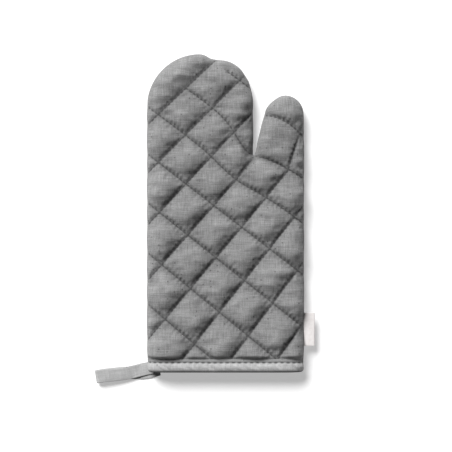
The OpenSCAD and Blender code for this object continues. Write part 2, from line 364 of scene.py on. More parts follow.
class Cloth:
    """One panel's surface over the points of a plan."""

    def __init__(self, plan, side):
        self.__dict__.update(plan.__dict__)
        self.side = side
        table_t, table_run = rim_table(RISE[side])
        self.run = np.interp(np.minimum(self.t, RIM), table_t, table_run)
        extra = (table_run[-1] - self.run) - (RIM - np.minimum(self.t, RIM))
        self.uv = self.plan - self.n * extra[:, None]
        self.d_line = np.minimum(self.d_rising, self.d_falling)

    def base(self, depth=0.0, offset=0.0):
        """Points on the surface through the stitch lines, moved along its normals, and the normals."""
        rise = RISE[self.side]
        u = 1 - np.minimum(self.t, RIM) / RIM
        up = np.sqrt(np.maximum(1 - u * u, 0))
        scale = np.sqrt((rise * u) ** 2 + (RIM * up) ** 2)
        flat, tall = rise * u / scale, RIM * up / scale
        normal = np.column_stack([-self.n * flat[:, None], SIGN[self.side] * tall])
        point = np.column_stack([self.plan, SEAM_Z + SIGN[self.side] * rise * up])
        tuck = BINDING_TUCK * smoothstep((BINDING_Y + 2 - self.plan[:, 1]) / 4)
        return point + normal * (np.asarray(offset) - depth - tuck)[:, None], normal

    def puff(self, detail=False):
        """The pillows' rise above the stitch lines, in millimetres."""
        d = []
        for dist, run in ((self.d_rising, self.s_rising), (self.d_falling, self.s_falling)):
            if detail:
                pull = 0.5 + 0.5 * np.cos(2 * math.pi * run / STITCH_PITCH)
                dist = np.maximum(dist - PUCKER * pull * np.exp(-dist / PUCKER_W), 0)
            crown = np.sin(math.pi / 2 * np.clip(dist / PILLOW_REACH, 0, 1)) ** CROWN
            d.append(VALLEY * (1 - bell(dist / VALLEY_W)) + (1 - VALLEY) * crown)
        full = d[0] * d[1] * smoothstep(self.run / SEAM_FADE) * (1 + LEAN * self.lean)
        full *= smoothstep((self.plan[:, 1] - BINDING_Y - 1.2) / 4.5)
        fuller = FLATTER + (1 - FLATTER) * smoothstep((FINGER_C[1] - self.plan[:, 1]) / FINGER_C[1])
        return PUFF[self.side] * full * fuller

    def painted_shade(self):
        """Painted shade at each point in a stitched valley, from 0 to 1 at the needle's holes."""
        darkest_shade = np.zeros(len(self.plan))
        # Painted shade in the valleys, deeper near the crotch
        crotch_shade = bell(from_crotch(self.plan) / CROTCH_SHADE_R)
        # Painted shade of the falling lines, stronger in the palm than in the fingers
        palm = FALLING_SHADE + FALLING_SHADE * smoothstep((FINGER_C[1] - self.plan[:, 1]) / 90)
        for d, s, shade_share in ((self.d_rising, self.s_rising, 1.0), (self.d_falling, self.s_falling, palm)):
            hole = 0.5 + 0.5 * np.cos(2 * math.pi * s / STITCH_PITCH)
            narrow = bell(d / CREASE_SHADE_W) * (RUN_ON * shade_share + (1 - RUN_ON * shade_share) * hole)
            wide = (VALLEY_SHADE * shade_share + CROTCH_SHADE * crotch_shade) * bell(d / VALLEY_SHADE_W)
            darkest_shade = np.maximum(darkest_shade, np.maximum(narrow, wide))
        return darkest_shade * smoothstep(self.run / 5)

    def wrinkles(self):
        """Fine unevenness of the cloth: puckers off the stitch lines, and soft dents in the pillows."""
        live = smoothstep(self.run / 12) * smoothstep((self.plan[:, 1] - BINDING_Y) / 6)
        layer = 0 if self.side == "front" else 5
        x, y = self.plan.T
        dents = DENT * noise(x / 15, y / 6.5, layer) + RIPPLE * noise(x / 7, y / 3.5, layer + 1)
        out = dents * smoothstep(self.d_line / 5)
        for d, s, k in ((self.d_rising, self.s_rising, 2), (self.d_falling, self.s_falling, 3)):
            pucker = noise(s / 2.6, d / 9, layer + k) + 0.5 * noise(s / 5.5, d / 14, layer + k)
            out += GATHER * pucker * np.exp(-d / 5) * smoothstep(d / 2.5)
        return out * live


def triangulate():
    """A panel's points in plan and its triangles, fine at the rim, with edges along every stitch line."""
    points, edges = [], []

    def add(line):
        start = len(points)
        points.extend(line)
        edges.extend((k, k + 1) for k in range(start, len(points) - 1))
        return list(range(start, len(points)))

    rings = [add(OUTLINE + NORMALS * (RIM * (1 - math.cos(a)))) for a in RING_ANGLES]
    inner = RIM * (1 - math.cos(RING_ANGLES[-1]))
    across = np.arange(LEFT + inner + STEP + CUFF_TUCK, RIGHT - inner - 1.5, STEP)
    row = list(range(len(points), len(points) + len(across)))
    points.extend(np.stack([across, np.full_like(across, PANEL_END)], 1))
    hem = [ring[0] for ring in rings] + row + [ring[-1] for ring in reversed(rings)]
    edges.extend(zip(hem, hem[1:]))
    for run in RISING_RUNS + FALLING_RUNS:
        add(run)
    root = np.arange(CROTCH[0], RIGHT + 3, STEP)
    add(np.stack([root, thumb_root(root)], 1))
    x, y = np.meshgrid(np.arange(LEFT, RIGHT, STEP), np.arange(PANEL_END + 2, TOP_Y, STEP * 0.866))
    x = x + STEP / 2 * (np.arange(len(x)) % 2)[:, None]
    grid = np.column_stack([x.ravel(), y.ravel()])
    grid = grid[inside(grid)]
    apart = STEP / 2 - 0.05
    from_lines = nearest(grid, RISING_RUNS + FALLING_RUNS)[0]
    far = (from_seam(grid)[0] > inner + apart) & (from_lines > apart)
    points.extend(grid[far])
    made = geometry.delaunay_2d_cdt([Vector(p) for p in points], edges, [], 1, 1e-4)
    return np.array(made[0]), np.array(made[2])


def clean(plan, faces):
    """Joins points that lie closer than half a millimetre on the front, and drops what collapses."""
    cloth = Cloth(Plan(plan), "front")
    where = cloth.base()[0]
    target = np.arange(len(where))
    tree = kdtree.KDTree(len(where))
    for k, p in enumerate(where):
        tree.insert(p, k)
    tree.balance()
    rank = (cloth.t < 0.02) * 2 + (cloth.d_line < 0.02)  # points on the seam and on the stitch lines stay
    for k in sorted(range(len(where)), key=lambda m: -rank[m]):
        if target[k] != k:
            continue
        for _, m, _ in tree.find_range(where[k], 0.5):
            if m != k and target[m] == m and rank[m] <= rank[k] and not (rank[m] >= 2 and rank[k] >= 2):
                target[m] = k
    faces = target[faces]
    ok = (faces[:, 0] != faces[:, 1]) & (faces[:, 1] != faces[:, 2]) & (faces[:, 0] != faces[:, 2])
    used, faces = np.unique(faces[ok], return_inverse=True)
    return plan[used], faces.reshape(-1, 3)


def subdivide(plan, faces):
    """Each triangle cut in four. Also returns the pairs of points that the new points lie between."""
    pairs = np.sort(np.vstack([faces[:, [0, 1]], faces[:, [1, 2]], faces[:, [2, 0]]]), axis=1)
    unique, index = np.unique(pairs, axis=0, return_inverse=True)
    index = index.reshape(-1)
    n, m = len(faces), len(plan)
    ab, bc, ca = m + index[:n], m + index[n : 2 * n], m + index[2 * n :]
    a, b, c = faces.T
    new = np.vstack([np.stack(f, 1) for f in ((a, ab, ca), (ab, b, bc), (ca, bc, c), (ab, bc, ca))])
    return np.vstack([plan, (plan[unique[:, 0]] + plan[unique[:, 1]]) / 2]), new, unique


# ---- making objects


def make(name, verts, faces, uv=None, material=None, painted_shade=None):
    """A smooth-shaded mesh object from points in millimetres. Points that no face uses are dropped."""
    verts, faces = np.asarray(verts, float), [list(map(int, f)) for f in faces]
    used = np.unique(np.concatenate([np.asarray(f) for f in faces])) if faces else []
    renumber = {int(v): k for k, v in enumerate(used)}
    faces = [[renumber[v] for v in f] for f in faces]
    mesh = bpy.data.meshes.new(name)
    mesh.from_pydata((verts[used] * MM).tolist(), [], faces)
    if uv is not None:
        layer = mesh.uv_layers.new(name="cloth")
        loops = np.empty(len(mesh.loops), np.int32)
        mesh.loops.foreach_get("vertex_index", loops)
        layer.data.foreach_set("uv", (np.asarray(uv)[used][loops] / 100).astype(np.float32).ravel())
    # Painted shade per point, read by the linen material
    if painted_shade is not None:
        depth = mesh.attributes.new("painted_shade", "FLOAT", "POINT")
        depth.data.foreach_set("value", np.asarray(painted_shade)[used].astype(np.float32))
    mesh.shade_smooth()
    mesh.validate()
    obj = bpy.data.objects.new(name, mesh)
    bpy.context.scene.collection.objects.link(obj)
    if material:
        mesh.materials.append(material)
    return obj


def thicken(obj, thickness, offset=-1.0):
    """Gives a surface the thickness of its cloth, inwards or to both sides (offset 0)."""
    mod = obj.modifiers.new("thickness", "SOLIDIFY")
    mod.thickness, mod.offset = thickness * MM, offset
    mod.use_even_offset = False
    return obj


def loft(rings, closed_ring=True, closed_path=False):
    """Points, faces and cloth coordinates of a surface through rings of points, capped if it is a tube."""
    rings = np.asarray(rings, float)
    n, m = rings.shape[:2]
    verts = rings.reshape(-1, 3)
    faces = []
    for i in range(n if closed_path else n - 1):
        for j in range(m if closed_ring else m - 1):
            k, q = (i + 1) % n, (j + 1) % m
            faces.append((i * m + j, i * m + q, k * m + q, k * m + j))
    if closed_ring and not closed_path:
        faces.append(tuple(range(m - 1, -1, -1)))
        faces.append(tuple((n - 1) * m + j for j in range(m)))
    uv = np.stack(np.meshgrid(run_along(rings.mean(1)), run_along(rings[0]), indexing="ij"), -1)
    uv = uv.reshape(-1, 2)
    return verts, faces, uv


def lofts(tubes):
    """Several tubes as one surface."""
    verts, faces, uvs = [], [], []
    for rings in tubes:
        v, f, uv = loft(rings)
        faces.extend(tuple(len(verts) + k for k in face) for face in f)
        verts.extend(v)
        uvs.extend(uv)
    return verts, faces, uvs


def capsule(centre, along, length, radius):
    """The rings of a short rounded stitch."""
    half = [(0.36, 0.95), (0.46, 0.6), (0.5, 0.12)]
    profile = [(-x, r) for x, r in reversed(half)] + [(0, 1.08)] + half
    turn = np.arange(8) * math.pi / 4
    along = unit(along)
    a = np.cross(along, (0.0, 0.0, 1.0))
    if np.linalg.norm(a) < 0.1:  # an upright stitch
        a = np.cross(along, (0.0, 1.0, 0.0))
    a = unit(a)
    ring = radius * (np.outer(np.cos(turn), a) + np.outer(np.sin(turn), np.cross(a, along)))
    return [centre + along * x * length + ring * r for x, r in profile]


def sew(name, centres, directions, length, radius, thread):
    """An object of stitches."""
    tubes = [capsule(np.array(c), np.array(d), length, radius) for c, d in zip(centres, directions)]
    return make(name, *lofts(tubes)[:2], None, thread)


# ---- materials


class Nodes:
    """Builds a material's node tree in short lines."""

    def __init__(self, name):
        self.material = bpy.data.materials.new(name)
        self.material.use_nodes = True
        self.tree = self.material.node_tree
        self.shader = self.tree.nodes["Principled BSDF"]

    def add(self, kind, inputs=(), **props):
        """A node, with links and constants for its inputs and values for its properties."""
        node = self.tree.nodes.new(kind)
        for key, value in props.items():
            setattr(node, key, value)
        for key, value in dict(inputs).items():
            if isinstance(value, bpy.types.NodeSocket):
                self.tree.links.new(value, node.inputs[key])
            else:
                node.inputs[key].default_value = value
        return node

    def math(self, operation, a, b=0.0):
        return self.add("ShaderNodeMath", {0: a, 1: b}, operation=operation).outputs[0]

    def vector(self, operation, a, b):
        return self.add("ShaderNodeVectorMath", {0: a, 1: b}, operation=operation).outputs[0]

    def noise(self, vector, scale, detail=2.0, roughness=0.5):
        inputs = {"Vector": vector, "Scale": scale, "Detail": detail, "Roughness": roughness}
        return self.add("ShaderNodeTexNoise", inputs).outputs[0]

    def mix(self, factor, a, b):
        """Colour a, turning into colour b as the factor goes from 0 to 1."""
        node = self.add("ShaderNodeMix", data_type="RGBA", clamp_factor=True)
        for key, value in (("Factor", factor), ("A", a), ("B", b)):
            sockets = [s for s in node.inputs if s.name == key and s.enabled]
            socket = next(s for s in sockets if key == "Factor" or s.type == "RGBA")
            if isinstance(value, bpy.types.NodeSocket):
                self.tree.links.new(value, socket)
            else:
                socket.default_value = value
        return next(s for s in node.outputs if s.type == "RGBA")

    def ramp(self, value, low, high):
        """The value's place between low and high, from 0 to 1."""
        return self.add("ShaderNodeMapRange", {0: value, 1: low, 2: high}).outputs[0]

    def link(self, socket, name):
        """Joins a socket to the shader's input of that name."""
        self.tree.links.new(socket, self.shader.inputs[name])

    def weigh(self, *terms):
        """The sum of values, each times its weight."""
        total = self.math("MULTIPLY", *terms[0])
        for value, weight in terms[1:]:
            total = self.math("ADD", total, self.math("MULTIPLY", value, weight))
        return total

    def cloth_mm(self):
        """Lengths along and across the cloth, in millimetres."""
        where = self.add("ShaderNodeUVMap", uv_map="cloth").outputs[0]
        return self.vector("MULTIPLY", where, (100, 100, 0))

    def finish(self, **values):
        """Sets the shader's constants, and returns the material."""
        for name, value in values.items():
            self.shader.inputs[name.replace("_", " ")].default_value = value
        return self.material

    def bump(self, strength, distance, height):
        inputs = {"Strength": strength, "Distance": distance, "Height": height}
        self.link(self.add("ShaderNodeBump", inputs).outputs[0], "Normal")


def grey(level, warm=0.0):
    """A grey, redder than neutral by the share warm."""
    return (level * (1 + warm), level, level * (1 - warm), 1)


def linen(name, dark, light, thread=0.85, flecks=0.75, bump=0.5):
    """Plain-woven linen: uneven warp and weft threads, soft mottling, dark flecks, and painted shade in its
    creases and under its edges, read from the mesh.
    """
    n = Nodes(name)
    mm = n.cloth_mm()
    warp = n.noise(n.vector("MULTIPLY", mm, (1.15, 0.07, 0)), 1.0, 3.0, 0.6)
    weft = n.noise(n.vector("MULTIPLY", mm, (0.06, 1.05, 0)), 1.0, 3.0, 0.6)
    split = n.add("ShaderNodeSeparateXYZ", {0: mm})
    over = n.math("SINE", n.math("MULTIPLY", split.outputs[0], 2 * math.pi / thread))
    under = n.math("SINE", n.math("MULTIPLY", split.outputs[1], 2 * math.pi / thread))
    weave = n.math("MULTIPLY", over, under)
    slubs = n.weigh((warp, 0.5), (weft, 0.5))
    mottle = n.noise(mm, 0.045, 3.0, 0.6)
    grain = n.noise(mm, 1.1, 2.0, 0.7)
    patches, grains = n.ramp(mottle, 0.3, 0.7), n.ramp(grain, 0.3, 0.7)
    tone = n.weigh((n.ramp(slubs, 0.36, 0.64), 0.5), (patches, 0.2), (grains, 0.3), (weave, 0.05))
    colour = n.mix(tone, dark, light)
    cells = n.add("ShaderNodeTexVoronoi", {"Vector": mm, "Scale": 0.14}, voronoi_dimensions="2D")
    chance = n.add("ShaderNodeSeparateColor", {0: cells.outputs["Color"]}).outputs[0]
    speck = n.ramp(cells.outputs["Distance"], 0.13, 0.06)
    speck = n.math("MULTIPLY", speck, n.math("GREATER_THAN", chance, flecks))
    colour = n.mix(n.math("MULTIPLY", speck, 0.6), colour, grey(dark[0] * 0.25))
    # Painted shade, from the mesh's point attribute, darkens the colour
    painted_shade = n.add("ShaderNodeAttribute", attribute_name="painted_shade").outputs["Fac"]
    colour = n.mix(n.math("MULTIPLY", painted_shade, 0.95), colour, grey(dark[0] * 0.22))
    n.link(colour, "Base Color")
    n.bump(bump, 0.00035, n.weigh((weave, 0.35), (slubs, 1.6), (grain, 0.5)))
    return n.finish(Roughness=0.9, Sheen_Weight=0.15, Sheen_Roughness=0.5, Specular_IOR_Level=0.2)


def plain_thread(name, colour):
    """Twisted sewing thread."""
    n = Nodes(name)
    where = n.add("ShaderNodeTexCoord").outputs["Object"]
    twist = n.add("ShaderNodeTexWave", {"Vector": where, "Scale": 900.0, "Distortion": 2.0})
    twist.bands_direction = "DIAGONAL"
    n.link(n.mix(twist.outputs["Fac"], colour, grey(colour[0] * 1.5)), "Base Color")
    n.bump(0.4, 0.0001, twist.outputs["Fac"])
    return n.finish(Roughness=0.6)


def wadding_material():
    """Matted cotton fibre."""
    n = Nodes("wadding")
    where = n.add("ShaderNodeTexCoord").outputs["Object"]
    fibre = n.noise(where, 700.0, 6.0, 0.75)
    clump = n.noise(where, 90.0, 3.0, 0.6)
    tone = n.math("MULTIPLY", n.math("ADD", fibre, clump), 0.5)
    n.link(n.mix(tone, grey(0.6, 0.03), grey(0.86, 0.02)), "Base Color")
    n.bump(0.8, 0.0006, fibre)
    return n.finish(Roughness=0.95)


def satin_material():
    """Off-white woven ribbon with fine cross ribs."""
    n = Nodes("satin_ribbon")
    mm = n.cloth_mm()
    split = n.add("ShaderNodeSeparateXYZ", {0: mm})
    ribs = n.math("SINE", n.math("MULTIPLY", split.outputs[1], 2 * math.pi / 0.9))
    cloud = n.noise(mm, 0.35, 3.0, 0.6)
    tone = n.weigh((ribs, 0.15), (n.ramp(cloud, 0.25, 0.75), 1.0))
    n.link(n.mix(tone, (0.68, 0.645, 0.635, 1), (0.77, 0.745, 0.735, 1)), "Base Color")
    n.bump(0.25, 0.0002, ribs)
    return n.finish(Roughness=0.45, Sheen_Weight=0.2)


LINEN = linen("grey_linen", grey(0.09), grey(0.385), flecks=0.86, bump=1.0)
BINDING = linen("binding_linen", grey(0.25), grey(0.54), flecks=0.985, bump=0.5)
LINING = linen("lining_cotton", grey(0.34), grey(0.44), thread=0.6, flecks=0.99, bump=0.25)
THREAD = plain_thread("grey_thread", grey(0.055))
PALE_THREAD = plain_thread("pale_thread", grey(0.34))
WADDING = wadding_material()
SATIN = satin_material()


# ---- camera, light and floor

VIEW_WIDTH, VIEW_Z = 0.452, 0.016  # metres seen across the picture, and the height at which it holds
SUN, SUN_ANGLE, SUN_FROM = 5.2, math.radians(30), Vector((-0.45, 0.75, 0.90))
FILL = 0.07  # light from all round
FLOOR, FLOOR_Z = 20000.0, -0.3  # half the floor's side, and its height
FLOOR_GLOW = 0.39


def studio_world(ambient):
    """Soft light from all round, in front of a plain white backdrop."""
    world = bpy.data.worlds.new("studio")
    world.use_nodes = True
    tree = world.node_tree
    background = tree.nodes["Background"]
    background.inputs["Color"].default_value = (1, 1, 1, 1)
    ray = tree.nodes.new("ShaderNodeLightPath")
    strength = tree.nodes.new("ShaderNodeMapRange")
    strength.inputs["To Min"].default_value = ambient
    tree.links.new(ray.outputs["Is Camera Ray"], strength.inputs["Value"])
    tree.links.new(strength.outputs[0], background.inputs["Strength"])
    return world


def set_the_stage():
    """The camera above the mitt, a wide sun from the upper left, and a white floor."""
    scene = bpy.context.scene
    data = bpy.data.cameras.new("camera")
    data.lens, data.sensor_width = 135, 36
    camera = bpy.data.objects.new("camera", data)
    scene.collection.objects.link(camera)
    camera.location = (0.0005, -0.0125, VIEW_Z + VIEW_WIDTH * data.lens / data.sensor_width)
    scene.camera = camera
    sun = bpy.data.lights.new("key", "SUN")
    sun.energy, sun.angle = SUN, SUN_ANGLE
    key = bpy.data.objects.new("key", sun)
    key.rotation_euler = SUN_FROM.to_track_quat("Z", "Y").to_euler()
    scene.collection.objects.link(key)
    scene.world = studio_world(FILL)
    scene.view_settings.view_transform = "Standard"
    corners = [(-1, -1), (1, -1), (1, 1), (-1, 1)]
    floor = make("floor", [(x * FLOOR, y * FLOOR, FLOOR_Z) for x, y in corners], [(0, 1, 2, 3)])
    n = Nodes("white_floor")
    tone = n.noise(n.add("ShaderNodeTexCoord").outputs["Object"], 3.0)
    n.link(n.mix(tone, grey(0.69), grey(0.71)), "Base Color")
    floor.data.materials.append(
        n.finish(Roughness=0.9, Emission_Color=(1, 1, 1, 1), Emission_Strength=FLOOR_GLOW)
    )


set_the_stage()


# ---- the quilted panels


def in_thumb(centres):
    """Whether each point lies beyond the quilting line across the thumb's root."""
    return (centres[:, 0] > CROTCH[0]) & (centres[:, 1] > thumb_root(centres[:, 0])) & (
        (centres[:, 0] > CROTCH[0] + 1.6) | (centres[:, 1] < CROTCH[1] + 10)
    )


def bend_thumb(obj):
    """Bakes a thumb piece's transform into its mesh; the piece is not bent."""
    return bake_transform(obj)


def bend(obj, part):
    """Bakes a body or thumb piece's transform into its mesh; neither is bent."""
    if part == "thumb":
        return bend_thumb(obj)
    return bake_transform(obj)


PARTS = {"body": ("palm", "fingers"), "thumb": ("thumb",)}  # the CAD's parts that each piece stands for


def cad_nodes(side, layer, part):
    """The CAD nodes of a layer that a piece stands for."""
    return [f"{side}_{layer}_{name}" for name in PARTS[part]]


def facing(faces, side):
    """The faces turned to look out of the mitt."""
    return faces if side == "front" else faces[:, ::-1]


def simulate(side, base, faces):
    """How each point moves as the pillows fill, with the cloth held at its stitches, seam and cuff."""
    start = base.base(offset=base.puff() * SIM_START)[0]
    obj = make("simulated", start, facing(faces, side))
    held = (base.d_line < 0.05) | (base.t < 1.0) | (base.plan[:, 1] < BINDING_Y + 1)
    group = obj.vertex_groups.new(name="held")
    group.add(np.nonzero(held)[0].tolist(), 1.0, "REPLACE")
    cloth = obj.modifiers.new("cloth", "CLOTH")
    settings = cloth.settings
    settings.quality, settings.mass = 6, 0.15
    settings.tension_stiffness = settings.compression_stiffness = 12
    settings.shear_stiffness, settings.bending_stiffness = 4, 0.6
    settings.vertex_group_mass = "held"
    settings.use_pressure, settings.uniform_pressure_force = True, SIM_PRESSURE
    settings.shrink_min = -SIM_GROWTH
    settings.effector_weights.gravity = 0
    cloth.collision_settings.use_collision = False
    cloth.point_cache.frame_end = SIM_FRAMES
    for f in range(1, SIM_FRAMES + 1):
        bpy.context.scene.frame_set(f)
    moved = obj.evaluated_get(bpy.context.evaluated_depsgraph_get()).data
    end = np.empty(len(start) * 3)
    moved.vertices.foreach_get("co", end)
    bpy.data.objects.remove(obj)
    shift = end.reshape(-1, 3) / MM - start
    length = np.maximum(np.linalg.norm(shift, axis=1, keepdims=True), 1e-9)
    shift *= np.minimum(length, SIM_CAP[side]) / length  # no point moves further than the cap
    return start + shift - base.base(offset=base.puff())[0]


def panel(side, coarse, fine_plan, faces, fine_faces, pairs):
    """The shell, batting, lining and quilting of the front or the back."""
    base, fine = Cloth(coarse, side), Cloth(fine_plan, side)
    puff = base.puff()
    rise = fine.puff(detail=True) + fine.wrinkles() * (1.0 if side == "front" else 0.5)
    shell = fine.base(offset=rise)[0]
    shift = np.zeros((len(puff), 3))
    shift = simulate(side, base, faces)
    shell += np.vstack([shift, (shift[pairs[:, 0]] + shift[pairs[:, 1]]) / 2])
    shell[:, 2] = np.clip(shell[:, 2], 0.1, TOP_Z + 3)
    for part in ("body", "thumb"):
        chosen = fine_faces[in_thumb(fine.plan[fine_faces].mean(1)) == (part == "thumb")]
        # The shell carries the painted shade of its stitched valleys
        obj = make(f"{side}_cloth_{part}", shell, facing(chosen, side), fine.uv, LINEN, fine.painted_shade())
        thicken(obj, SHELL_T)
        finish_piece(obj, side, "shell", part)
        chosen = faces[in_thumb(base.plan[faces].mean(1)) == (part == "thumb")]
        batting(side, part, base, puff, shift, chosen)
        lining(side, part, base, puff, chosen)
        quilting(side, part)


def finish_piece(obj, side, layer, part):
    """Bakes a layer's piece's transform into its mesh, and hides the CAD nodes that it replaces."""
    bend(obj, part)
    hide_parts(*cad_nodes(side, layer, part))


def batting(side, part, base, puff, shift, chosen):
    """Matted filling between the shell and the lining, thin at the stitch lines."""
    face = np.minimum(puff, base.puff(detail=True) + base.wrinkles())
    face -= BATTING_PINCH * np.exp(-base.d_line / 3)
    upper = base.base(depth=BATTING_D, offset=face)[0] + shift
    lower = base.base(depth=LINING_D - 0.1, offset=-puff * LINING_SAG / PUFF[side])[0]
    count = len(upper)
    edges = np.vstack([chosen[:, [0, 1]], chosen[:, [1, 2]], chosen[:, [2, 0]]])
    _, first, uses = np.unique(np.sort(edges, axis=1), axis=0, return_index=True, return_counts=True)
    rim = edges[first[uses == 1]]
    faces = facing(chosen, side).tolist() + (facing(chosen, side)[:, ::-1] + count).tolist()
    for a, b in rim:
        wall = [b, a, a + count, b + count]
        faces.append(wall if side == "front" else wall[::-1])
    obj = make(f"{side}_wadding_{part}", np.vstack([upper, lower]), faces, None, WADDING)
    finish_piece(obj, side, "batting", part)


def lining(side, part, base, puff, chosen):
    """The cloth that the hand meets, sewn through at the quilting."""
    verts = base.base(depth=LINING_D, offset=-puff * LINING_SAG / PUFF[side])[0]
    obj = make(f"{side}_liner_{part}", verts, facing(chosen, side), base.uv, LINING)
    thicken(obj, LINING_T)
    finish_piece(obj, side, "lining", part)


def quilting(side, part):
    """Stitches sunk in the valleys between the pillows."""
    centres, directions = [], []
    for run in RISING_RUNS + FALLING_RUNS:
        walk = run_along(run)
        length = walk[-1]
        at = np.arange(STITCH_PITCH, length - 1, STITCH_PITCH)
        ends = []
        for shift in (-0.5, 0.5):
            s = np.clip(at + shift * STITCH_L, 0, length)
            ends.append(np.stack([np.interp(s, walk, run[:, k]) for k in range(2)], 1))
        middle = (ends[0] + ends[1]) / 2
        keep = (in_thumb(middle) == (part == "thumb")) & (middle[:, 1] > BINDING_Y + 1)
        if not keep.any():
            continue
        a, _ = Cloth(Plan(ends[0][keep]), side).base(offset=STITCH_UP)
        b, _ = Cloth(Plan(ends[1][keep]), side).base(offset=STITCH_UP)
        centres.extend((a + b) / 2)
        directions.extend(b - a)
    obj = sew(f"{side}_stitches_{part}", centres, directions, STITCH_L, THREAD_R, THREAD)
    bend(obj, part)
    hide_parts(*cad_nodes(side, "quilting", part))


SEAM_PROFILE = np.array([
    # in from the seam line, up from the seam's plane
    (0.9, 0.75), (0.2, 0.85), (-0.35, 0.5), (-0.5, 0), (-0.35, -0.5), (0.2, -0.85),
    (0.9, -0.75), (2.2, -0.5), (7.5, -0.45), (7.8, 0), (7.5, 0.45), (2.2, 0.5),
])
SQUEEZE_R, SQUEEZE = 14, 0.35  # near the crotch the seam allowance narrows to this share


def seams():
    """The side seam: a rolled edge outside and the seam allowance inside."""
    split = int(np.argmin(from_crotch(OUTLINE)))
    below = (OUTLINE[:, 0] > RIGHT - 4) & (OUTLINE[:, 1] < thumb_root(OUTLINE[:, 0]))
    right = np.nonzero(below & (np.arange(len(OUTLINE)) > split))[0][0]
    spans_of = {"body": [(0, split), (right, len(OUTLINE) - 1)], "thumb": [(split, right)]}
    for part, spans in spans_of.items():
        tubes = []
        for first, last in spans:
            index = np.arange(first, last + 1)
            index = index[OUTLINE[index, 1] > PANEL_END + 0.5]
            p, n = OUTLINE[index], NORMALS[index]
            reach, up = SEAM_PROFILE.T
            near = from_crotch(p)
            squeeze = np.where(near < SQUEEZE_R, SQUEEZE + (1 - SQUEEZE) * near / SQUEEZE_R, 1.0)
            rings = np.empty((len(p), len(reach), 3))
            inward = np.where(reach > 1, reach * squeeze[:, None], reach)
            rings[:, :, :2] = p[:, None] + n[:, None] * inward[..., None]
            rings[:, :, 2] = SEAM_Z + up
            tubes.append(rings)
        obj = make(f"seam_{part}", *lofts(tubes), LINEN)
        bend(obj, part)
        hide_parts(*[f"side_seam_{name}" for name in PARTS[part]])


# ---- the cuff

BINDING_T = 0.7  # thickness of the strip
CUFF_ROW_L, CUFF_ROW_R, CUFF_ROW_OUT = 3.6, 0.32, 0.3  # the binding's stitches


def cuff_ring(count):
    """Evenly spaced points round the cuff, at the stitch lines' surface, and the ways out, in x and z."""
    half = (RIGHT - LEFT) / 2 - CUFF_TUCK
    ring = []
    for w in np.linspace(0, 2 * math.pi, 1440, endpoint=False):
        c, s = math.cos(w), math.sin(w)
        rise = RISE["front" if s >= 0 else "back"]
        ring.append((math.copysign(1, -c) * (half - RIM + RIM * abs(c)), SEAM_Z + rise * s))
    ring = np.array(ring + [ring[0]])
    even = resample(ring, run_along(ring)[-1] / count)[:-1]
    d = np.roll(even, -1, axis=0) - np.roll(even, 1, axis=0)
    return even, unit(np.stack([-d[:, 1], d[:, 0]], 1))


BINDING_PROFILE = np.array([
    # out from the stitch lines' surface, up from the cuff's edge
    (-0.2, 13.4), (0.0, 13.4), (0.12, 13.0), (0.22, 12.2), (0.18, 11.4), (0.0, 10.8), (-0.18, 10.3),
    (0.15, 9.8), (0.9, 9.1), (1.55, 7.9), (1.85, 6.5), (1.8, 5.1), (1.45, 3.7), (0.85, 2.5), (0.0, 1.5),
    (-1.1, 0.8), (-2.3, 0.7), (-3.2, 1.4), (-3.7, 3.0), (-3.75, 6.5), (-3.7, 9.0), (-3.6, 10.6),
])
ROW_UP = 10.2  # height of the binding's stitch row above the cuff's edge
SCALLOP = 6.0  # spacing of the stitches and of the dents that they pull
HELD_UP, HELD_W = 9.2, 1.4  # where the stitches pull the strip in, above the cuff's edge
ROLL_UP, ROLL_W, ROLL_WRINKLE = 5.5, 3.0, 1.25  # the padded roll below, and how deep its wrinkles are


def binding_row(p, n, run, pitch):
    """The strip across its width at one place round the cuff, and the painted shade at each point of it."""
    row, row_shade = [], []
    hold = 0.5 + 0.5 * math.cos(2 * math.pi * run / pitch)
    for reach, up in BINDING_PROFILE:
        outer = 1.0 if reach > -0.5 else 0.0
        at_row = bell((up - HELD_UP) / HELD_W)
        # Painted shade: dark at the stitch row, darker on the outer strip above it, and under the roll's
        # lower edge
        stitch_shade = bell((up - ROW_UP) / 0.75) * (0.45 + 0.55 * hold)
        under = 0.9 * smoothstep((3.6 - up) / 2.4)
        row_shade.append(outer * min(1.0, stitch_shade + 0.5 * smoothstep(up - ROW_UP)) + under)
        roll = bell((up - ROLL_UP) / ROLL_W)
        slant = run * 0.9 + up * 1.2
        wrinkle = noise(slant / 3.1, up / 9, 10) + 0.6 * noise(slant / 1.2, up / 7, 11)
        reach += outer * (at_row * (0.5 - 0.9 * hold) + ROLL_WRINKLE * roll * wrinkle)
        reach *= 1 - 0.55 * outer * n[0] ** 2  # flatter at the two sides
        lift = 0.25 * noise(run / 14, 2.0, 12) * outer
        row.append((p[0] + n[0] * reach, CUFF_Y + up + lift, p[1] + n[1] * reach))
    return row, row_shade


